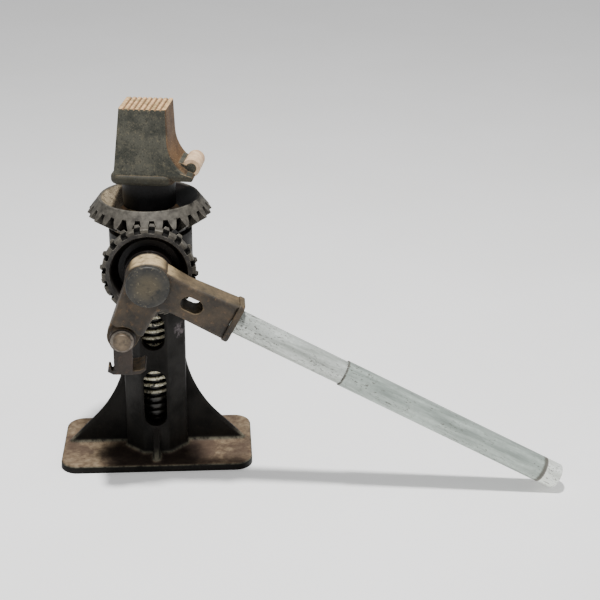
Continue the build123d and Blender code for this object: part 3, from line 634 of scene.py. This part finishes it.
# %% Dress the nodes
wardrobe = {
    "standard": casting,
    "crown_gear": crown_steel,
    "bevel_pinion": pinion_steel,
    "lever_socket": lever_rust,
    "pawl": pawl_rust,
    "load_head": head_iron,
    "lifting_screw": greased_screw,
    "pinion_stud": stud_steel,
    "pawl_pin": pin_steel,
    "toe_wear_sleeve": tan_sleeve,
    "handle_bar": pipe_zinc,
    "handle_sleeve": sleeve_zinc,
    "handle_end_cap": cap_zinc,
    "screw_nut": bronze,
    "ball_cage": brass,
    "thrust_balls": bearing_steel,
    "thrust_race_lower": bearing_steel,
    "thrust_race_upper": bearing_steel,
    "head_thrust_washer": bearing_steel,
}
for name, piece in frame["nodes"].items():
    worn = wardrobe.get(name, dull_steel)
    if not piece.material_slots:
        piece.data.materials.append(worn)
    for slot in piece.material_slots:
        slot.material = worn
print("dressed:", len(frame["nodes"]))


# %% [markdown]
# ## The floor
# A plain pale sheet stands under the jack. It gives off a little light of its own, which
# keeps it pale without a brighter lamp that would wash out the dark castings.

# %% Floor
floor_size = 12
floor_gap = 0.0002
def make_floor():
    finish = Finish("plain pale floor")
    colour = finish.blend(finish.noise(300).ramp(0.3, 0.7), rgb(246, 245, 243), rgb(250, 249, 248))
    finish.use(colour, 0.9)
    finish.shader.inputs["Emission Color"].default_value = (1, 1, 1, 1)
    finish.shader.inputs["Emission Strength"].default_value = 0.2
    bpy.ops.mesh.primitive_plane_add(size=floor_size, location=(0, 2, -floor_gap))
    floor = bpy.context.object
    floor.name = "floor"
    floor.data.materials.append(finish.material)
    print("floor size:", floor_size)


make_floor()


# %% [markdown]
# ## The lights
# A soft light hangs above and a little in front, so that the handle's shadow falls almost
# straight below it. Two wide weak lamps and an even sky keep the black castings readable.

# %% Lights
def add_light(name, place, target, size, power):
    lamp = bpy.data.lights.new(name, "AREA")
    lamp.shape = "DISK"
    lamp.size = size
    lamp.energy = power
    lamp_object = bpy.data.objects.new(name, lamp)
    lamp_object.location = place
    aim = Vector(target) - Vector(place)
    lamp_object.rotation_euler = aim.to_track_quat("-Z", "Y").to_euler()
    bpy.context.collection.objects.link(lamp_object)


jack_middle = (0.05, 0, 0.2)
add_light("overhead", place=(0.1, -0.31, 2.0), target=(0.05, 0, 0.15), size=0.16, power=60)
add_light("front fill", place=(-0.9, -2.0, 1.1), target=jack_middle, size=1.4, power=6)
add_light("side fill", place=(1.8, -0.6, 0.9), target=jack_middle, size=1.0, power=5)
world = bpy.data.worlds.new("studio")
world.use_nodes = True
sky = world.node_tree.nodes["Background"]
sky.inputs["Color"].default_value = (0.93, 0.94, 0.96, 1)
sky.inputs["Strength"].default_value = 0.42
bpy.context.scene.world = world
print("lamps:", len(bpy.data.lights))


# %% [markdown]
# ## The camera
# The camera looks down on the jack from the front. Its three angles are given one by one,
# because a person can picture a turn, a tilt and a slight roll, but not a matrix.

# %% Camera
sensor_width = 36


def add_camera(place, pitch, yaw, roll, focal_widths):
    """A camera that looks along +Y, turned right by yaw, down by pitch, then rolled."""
    pitch, yaw, roll = (math.radians(angle) for angle in (pitch, yaw, roll))
    forward = Vector((math.sin(yaw) * math.cos(pitch), math.cos(yaw) * math.cos(pitch),
                      -math.sin(pitch)))
    level = Vector((math.cos(yaw), -math.sin(yaw), 0))
    above = level.cross(forward)
    right = math.cos(roll) * level + math.sin(roll) * above
    up = math.cos(roll) * above - math.sin(roll) * level
    lens = bpy.data.cameras.new("camera")
    lens.sensor_width = sensor_width
    lens.lens = focal_widths * sensor_width
    camera = bpy.data.objects.new("camera", lens)
    turn = Matrix((right, up, -forward)).transposed()
    camera.matrix_world = Matrix.Translation(place) @ turn.to_4x4()
    bpy.context.collection.objects.link(camera)
    bpy.context.scene.camera = camera
    print("camera lens:", round(lens.lens, 1))


add_camera(place=(0.0695, -1.4619, 0.8195), pitch=23.4, yaw=3.8, roll=0.5, focal_widths=7 / 3)
